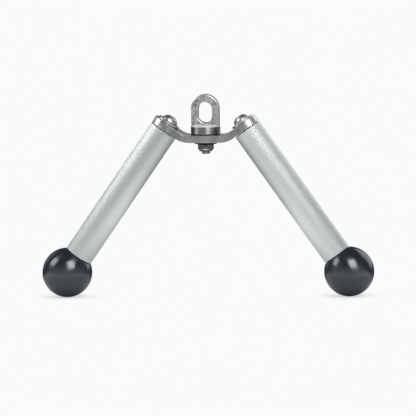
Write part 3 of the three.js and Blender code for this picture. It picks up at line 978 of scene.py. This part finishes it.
@dataclass
class Bracket:
    """Flat bar with round ends and three holes, bent up on both sides of its hub."""

    workshop: Workshop
    width: float = 32.0 * MM
    thickness: float = 8.0 * MM
    edge: float = 0.5 * MM
    hub_half_length: float = 16.35 * MM
    bend_radius: float = 20.0 * MM
    tilt: float = math.radians(35)
    arm_run: float = 16.1 * MM
    top: float = -36.1 * MM
    hub_bore: float = 8.15 * MM
    screw_hole: float = 5.4 * MM
    bend_steps: int = 14
    hole_segments: int = 48

    def build(self) -> None:
        """Builds and dresses the bracket."""
        steel = self.workshop.materials(Matrix.Rotation(math.pi / 2, 4, "Y"), BRACKET_STEEL)
        self.workshop.piece("bracket", self.bar(), steel, Part.YOKE, "bracket_steel")

    @property
    def bend_length(self) -> float:
        """Length of bar in one bend, at half its thickness."""
        return (self.bend_radius + self.thickness / 2) * self.tilt

    def bar(self) -> Mesh:
        """Rounds the blank's edges, opens its holes and bends it.

        Returns:
            The mesh.
        """
        mesh = bmesh.new()
        reach = self.hub_half_length + self.bend_length + self.arm_run
        half_step = Matrix.Rotation(math.pi / FACETS, 4, "Z")
        level = Matrix.Translation((0.0, 0.0, self.top - self.thickness)) @ half_step
        verts = circle(mesh, FACETS, self.width / 2, level, filled=True)[0]
        for side in (-1, 1):
            half = [v for v in verts if side * v.co.x > 0]
            bmesh.ops.translate(mesh, verts=half, vec=(side * reach, 0.0, 0.0))
        thick = bmesh.ops.extrude_face_region(mesh, geom=mesh.faces[:])
        raised = of_kind(Vert, thick["geom"])
        bmesh.ops.translate(mesh, verts=raised, vec=(0.0, 0.0, self.thickness))
        bevel_rims(face_out(mesh), self.edge, 3, Surface.PLAIN)
        self.open_holes(mesh, reach)
        self.bend(mesh)
        return face_out(mesh)

    def open_holes(self, mesh: Mesh, reach: float) -> None:
        """Opens the hub bore and the two screw holes through the flat blank.

        Args:
            mesh: The blank.
            reach: Distance of a screw hole from the hub's middle.
        """
        lids = [face for face in mesh.faces if len(face.verts) >= FACETS]
        walls: dict[int, Loop] = {-1: [], 0: [], 1: []}
        for lid in lids:
            height = lid.calc_center_median().z
            normal = lid.normal.copy()
            rim = list(lid.edges)
            bmesh.ops.delete(mesh, geom=[lid], context="FACES_ONLY")
            for side, wall in walls.items():
                radius = self.screw_hole if side else self.hub_bore
                level = Matrix.Translation((side * reach, 0.0, height))
                edges = circle(mesh, self.hole_segments, radius, level)[1]
                wall += edges
                rim += edges
            bmesh.ops.triangle_fill(mesh, edges=rim, use_beauty=True, normal=normal)
        for wall in walls.values():
            bmesh.ops.bridge_loops(mesh, edges=wall)

    def bend(self, mesh: Mesh) -> None:
        """Cuts the blank at even stations and turns each about its bend's centre.

        Args:
            mesh: The flat blank.
        """
        step = self.bend_length / self.bend_steps
        for side in (-1, 1):
            for station in range(self.bend_steps + 1):
                across = side * (self.hub_half_length + station * step)
                bmesh.ops.bisect_plane(
                    mesh, geom=everything(mesh), dist=MERGE_DISTANCE,
                    plane_co=(across, 0.0, 0.0), plane_no=(1.0, 0.0, 0.0),
                )
        stations: dict[tuple[int, int], list[Vert]] = {}
        for vert in mesh.verts:
            side = 1 if vert.co.x > 0 else -1
            past = (abs(vert.co.x) - self.hub_half_length) / step
            if past > 0.01:
                stations.setdefault((side, min(round(past), self.bend_steps)), []).append(vert)
        for (side, station), verts in stations.items():
            centre = (side * self.hub_half_length, 0.0, self.top + self.bend_radius)
            turn = Matrix.Rotation(-side * self.tilt * station / self.bend_steps, 3, "Y")
            bmesh.ops.translate(mesh, verts=verts, vec=(-side * station * step, 0.0, 0.0))
            bmesh.ops.rotate(mesh, verts=verts, cent=centre, matrix=turn)


@dataclass
class Handle:
    """One grip with its bushings, shaft, ball, cap screw and washer."""

    workshop: Workshop
    side: Side
    grip_radius: float = 16.0 * MM
    grip_wall: float = 3.0 * MM
    grip_edge: float = 0.6 * MM
    grip_top: float = -0.8 * MM
    grip_length: float = 169.0 * MM
    flange_radius: float = 14.5 * MM
    flange_depth: float = 2.1 * MM
    bar_thickness: float = 8.0 * MM
    seat_gap: float = 0.3 * MM
    washer_radius: float = 12.75 * MM
    washer_thickness: float = 2.0 * MM
    washer_edge: float = 0.3 * MM
    screw_hole: float = 5.4 * MM
    screw_radius: float = 5.0 * MM
    screw_chamfer: float = 0.8 * MM
    head_radius: float = 9.0 * MM
    head_height: float = 5.6 * MM
    head_rim: float = 0.8 * MM
    head_edge: float = 0.25 * MM
    head_flat: float = 4.5 * MM
    head_steps: int = 14
    head_segments: int = 72
    socket_flats: float = 6.0 * MM
    socket_depth: float = 3.4 * MM
    engagement: float = 18.0 * MM
    ball_radius: float = 27.5 * MM
    ball_seat: float = -170.6 * MM
    ball_seat_radius: float = 16.5 * MM
    ball_edge: float = 0.3 * MM
    ball_bore: float = 9.15 * MM
    ball_bore_depth: float = 24.0 * MM
    ball_steps: int = 72
    drill_point: float = 0.6
    fine_segments: int = 128

    def build(self) -> None:
        """Builds and dresses the handle's pieces."""
        shop, place, word = self.workshop, self.side.place, self.side.word
        finishes = (BRIGHT_STEEL, SATIN_STAINLESS, BALL_PLASTIC, BLACK_ACETAL)
        bright, satin, plastic, acetal = shop.materials(place, *finishes, label=f"_{word}")
        for name, mesh, material, part, slot in (
            ("cap_screw", self.cap_screw(), bright, Part.YOKE, "bright_steel"),
            ("screw_washer", self.screw_washer(), bright, Part.YOKE, "bright_steel"),
            ("grip", self.grip(), satin, self.side.handle, "satin_stainless"),
            ("ball", self.ball(), plastic, Part.YOKE, "black_plastic"),
        ):
            shop.piece(f"{word}_{name}", mesh, [material], part, slot, place)
        for name, material in (
            ("shaft", bright), ("ball_insert", bright), ("upper_bushing", acetal), ("lower_bushing", acetal),
        ):
            shop.dress_node(f"{word}_{name}", material)

    def cap_screw(self) -> Mesh:
        """Domed head with a hexagon socket, on a plain shank.

        Returns:
            The mesh.
        """
        seat = self.bar_thickness + self.washer_thickness + 2 * self.seat_gap
        end, tip = -self.seat_gap - self.engagement, self.screw_chamfer
        shank, head = self.screw_radius, self.head_radius
        rise = self.head_height - self.head_rim
        drop = (head**2 - self.head_flat**2 - rise**2) / (2 * rise)
        lean = math.atan2(drop + rise, self.head_flat) - math.atan2(drop, head)
        section = TurnedSection(
            (0.0, end), (shank - tip, end), (shank, end + tip), (shank, seat),
            (head, seat, self.head_edge), (head, seat + self.head_rim),
        )
        section.arc(seat + self.head_rim - drop, lean, self.head_steps)
        mesh = section.turned(self.head_segments)
        top = seat + self.head_height
        mouth = [e for e in mesh.edges if len(e.link_faces) == 1 and abs(e.verts[0].co.z - top) < 0.01 * MM]
        level = Matrix.Translation((0.0, 0.0, top))
        sides = circle(mesh, 6, self.socket_flats / math.sqrt(3), level)[1]
        parts = bmesh.ops.subdivide_edges(mesh, edges=sides, cuts=self.head_segments // 6 - 1)
        socket = list(dict.fromkeys(of_kind(Edge, parts["geom"]) + [e for e in sides if e.is_valid]))
        bmesh.ops.bridge_loops(mesh, edges=mouth + socket)
        deep = bmesh.ops.extrude_edge_only(mesh, edges=socket)["geom"]
        bmesh.ops.translate(mesh, verts=of_kind(Vert, deep), vec=(0.0, 0.0, -self.socket_depth))
        bmesh.ops.holes_fill(mesh, edges=of_kind(Edge, deep))
        return face_out(mesh)

    def screw_washer(self) -> Mesh:
        """Wide washer under the screw's head."""
        foot = self.bar_thickness + self.seat_gap
        return ring(self.screw_hole, self.washer_radius, foot, self.washer_thickness, self.washer_edge)

    def grip(self) -> Mesh:
        """Tube with rounded ends, counterbored for the bushings' flanges.

        Returns:
            The mesh.
        """
        outer, seat, edge, deep = self.grip_radius, self.flange_radius, self.grip_edge, self.flange_depth
        top, foot, bore = self.grip_top, self.grip_top - self.grip_length, outer - self.grip_wall
        section = TurnedSection(
            (seat, foot, edge / 3), (outer, foot, edge), (outer, top, edge), (seat, top, edge / 3),
            (seat, top - deep), (bore, top - deep), (bore, foot + deep), (seat, foot + deep),
        )
        return section.turned(self.fine_segments, closed=True)

    def ball(self) -> Mesh:
        """Ball with a flat seat for the grip's end and a blind bore.

        Returns:
            The mesh.
        """
        seat, bore, end = self.ball_seat, self.ball_bore, self.ball_seat - self.ball_bore_depth
        distance = math.sqrt(self.ball_radius**2 - self.ball_seat_radius**2)
        turn = math.pi / 2 + math.atan2(distance, self.ball_seat_radius)
        section = TurnedSection((0.0, seat - distance - self.ball_radius))
        section.arc(seat - distance, turn, self.ball_steps)
        section.rounds.append((section.verts[-1], self.ball_edge))
        section.draw((bore, seat, self.ball_edge), (bore, end), (0.0, end - self.drill_point * bore))
        return section.turned(self.fine_segments)


@dataclass(frozen=True)
class Lamp:
    """Rectangular lamp, set by its direction in the camera's axes: right, up and back."""

    name: str
    toward: tuple[float, float, float]
    distance: float
    width: float
    height: float
    radiance: float


@dataclass
class Studio:
    """Pale floor and background, soft lamps and a long lens at the photograph's angle."""

    distance: float = 5.0
    azimuth: float = math.radians(6.3)
    elevation: float = math.radians(5.43)
    roll: float = math.radians(-0.88)
    aim: tuple[float, float, float] = (0.00128, 0.0, -0.11703)
    focal_pixels: float = 4547.7
    image_pixels: float = 416.0
    sensor_width: float = 36.0
    background: Color = (0.956, 0.956, 0.973)
    paint: Color = (0.882, 0.882, 0.892)
    dark_room: Color = (0.07, 0.073, 0.078)
    ambient: Color = (0.5, 0.5, 0.505)
    floor_size: float = 60.0
    contact: float = 156.1 * MM
    contact_shadow: Fade = (0.012, 0.05, 0.6, 1.0)
    # Painted pool of light on the floor, and painted shadow under and round the balls, that reflections see.
    pool_back: Fade = (0.0, 0.13, 1.2, 0.04)
    pool_front: Fade = (-0.6, -0.12, 0.36, 1.0)
    under_ball: Fade = (0.0, 0.04, 0.0, 1.0)
    round_ball: Fade = (0.06, 0.2, 0.53, 1.0)
    sky_behind: Fade = (0.945, 0.975, 0.0, 1.0)
    sky_front: Fade = (-0.5, 0.15, 1.0, 0.0)
    sky_low: Fade = (0.12, 0.6, 1.0, 0.0)
    sky_front_share: float = 0.47
    lamps: tuple[Lamp, ...] = (
        Lamp("upper_front", (0.27, 0.58, 0.77), 3.5, 1.9, 2.3, 6.2),
        Lamp("upper_left", (-0.78, 0.57, 0.08), 3.4, 1.6, 1.5, 4.5),
        Lamp("right_rim", (0.68, 0.475, -0.56), 1.8, 1.3, 1.4, 1.15),
        Lamp("left_rim", (-0.62, 0.35, -0.7), 1.8, 0.6, 1.2, 0.35),
    )

    def build(self) -> None:
        """Sets the colour view, then adds the camera, floor, world and lamps."""
        bpy.context.scene.view_settings.view_transform = "Standard"
        self.add_camera()
        self.add_floor()
        self.add_world()
        for lamp in self.lamps:
            self.add_lamp(lamp)

    @property
    def axes(self) -> Matrix:
        """Camera's rotation.

        Returns:
            Matrix with its right, up and back directions as columns.
        """
        sin_a, cos_a = math.sin(self.azimuth), math.cos(self.azimuth)
        sin_e, cos_e = math.sin(self.elevation), math.cos(self.elevation)
        back = Vector((sin_a * cos_e, -cos_a * cos_e, sin_e))
        level = UP.cross(back).normalized()
        right = level * math.cos(self.roll) + back.cross(level) * math.sin(self.roll)
        return Matrix((right, back.cross(right), back)).transposed()

    def add_camera(self) -> None:
        """Adds the camera."""
        data = bpy.data.cameras.new("long_lens")
        data.sensor_width = self.sensor_width
        data.lens = self.focal_pixels / self.image_pixels * self.sensor_width
        data.clip_start, data.clip_end = 0.1, 200.0
        camera = placed("camera", data)
        place = Vector(self.aim) + self.axes.col[2] * self.distance
        camera.matrix_world = Matrix.Translation(place) @ self.axes.to_4x4()
        bpy.context.scene.camera = camera

    def add_floor(self) -> None:
        """Adds the floor that the balls stand on."""
        mesh = bmesh.new()
        level = Matrix.Translation((0.0, 0.0, cad_box[0][2]))
        bmesh.ops.create_grid(mesh, x_segments=2, y_segments=2, size=self.floor_size, matrix=level)
        floor = placed("floor", written("floor", mesh))
        floor.data.materials.append(self.floor_paint())

    def floor_paint(self) -> Material:
        """White floor that keeps a faint shadow at the balls and runs into the background; in reflections it
        glows as a painted pool of light, with painted shadow under and round the balls.

        Returns:
            The material.
        """
        material = bpy.data.materials.new("floor_paint")
        bench = NodeBench.cleared(material)
        path = bench.add("LightPath").outputs
        x, y, _ = bench.split(bench.add("TexCoord").outputs["Object"])
        beside = bench.math("SUBTRACT", bench.math("ABSOLUTE", x), self.contact)
        apart = bench.distance(beside, y)
        shown = bench.math("MULTIPLY", bench.spread(apart, *self.contact_shadow), path["Is Camera Ray"])
        reflected = bench.math("MAXIMUM", path["Is Glossy Ray"], path["Is Transmission Ray"])
        # Reflections see the floor glow as a painted pool of light, with painted shadow under and round the
        # balls.
        painted_light_pool = bench.math("MULTIPLY", reflected, bench.spread(y, *self.pool_back))
        painted_light_pool = bench.math("MULTIPLY", painted_light_pool, bench.spread(y, *self.pool_front))
        for fade in (self.under_ball, self.round_ball):
            painted_light_pool = bench.math("MULTIPLY", painted_light_pool, bench.spread(apart, *fade))
        strength = bench.math("ADD", path["Is Camera Ray"], painted_light_pool)
        glow = bench.add("Emission", {"Color": self.background, "Strength": strength})
        paint = bench.add("BsdfDiffuse", {"Color": self.paint})
        share = bench.math("MAXIMUM", shown, reflected)
        blend = bench.add("MixShader", {0: share, 1: paint.outputs["BSDF"], 2: glow.outputs["Emission"]})
        bench.add("OutputMaterial", {"Surface": blend.outputs["Shader"]})
        return material

    def add_world(self) -> None:
        """Adds the pale background straight behind the object, in a dark room that is pale low in front."""
        world = bpy.data.worlds.new("studio")
        bench = NodeBench.cleared(world)
        place = bench.add("TexCoord").outputs["Generated"]
        _, y, z = bench.split(place)
        behind = bench.spread(bench.vector("DOT_PRODUCT", place, -self.axes.col[2]), *self.sky_behind)
        front = bench.math("MULTIPLY", bench.spread(y, *self.sky_front), bench.spread(z, *self.sky_low))
        pale = bench.math("MAXIMUM", behind, bench.math("MULTIPLY", front, self.sky_front_share))
        room = bench.mix(pale, self.dark_room, self.background)
        path = bench.add("LightPath").outputs
        shown = bench.mix(path["Is Camera Ray"], room, self.background)
        seen = bench.math("MAXIMUM", path["Is Camera Ray"], path["Is Glossy Ray"])
        seen = bench.math("MAXIMUM", seen, path["Is Transmission Ray"])
        sky = bench.add("Background", {"Color": bench.mix(seen, self.ambient, shown)})
        bench.add("OutputWorld", {"Surface": sky.outputs["Background"]})
        bpy.context.scene.world = world

    def add_lamp(self, lamp: Lamp) -> None:
        """Adds a lamp that faces the object.

        Args:
            lamp: Its place, size and radiance.
        """
        data = bpy.data.lights.new(lamp.name, "AREA")
        data.shape, data.size, data.size_y = "RECTANGLE", lamp.width, lamp.height
        data.energy = lamp.radiance * math.pi * lamp.width * lamp.height
        out = (self.axes @ Vector(lamp.toward)).normalized()
        shape = placed(lamp.name, data)
        shape.location = Vector(self.aim) + out * lamp.distance
        shape.rotation_mode = "QUATERNION"
        shape.rotation_quaternion = out.to_track_quat("Z", "Y")


def main() -> None:
    """Builds every sub-assembly and the studio."""
    logging.basicConfig(level=logging.INFO, format="%(message)s")
    workshop = Workshop(Effects())
    Swivel(workshop).build()
    Bracket(workshop).build()
    for side in Side:
        Handle(workshop, side).build()
    Studio().build()


if __name__ == "__main__":
    main()
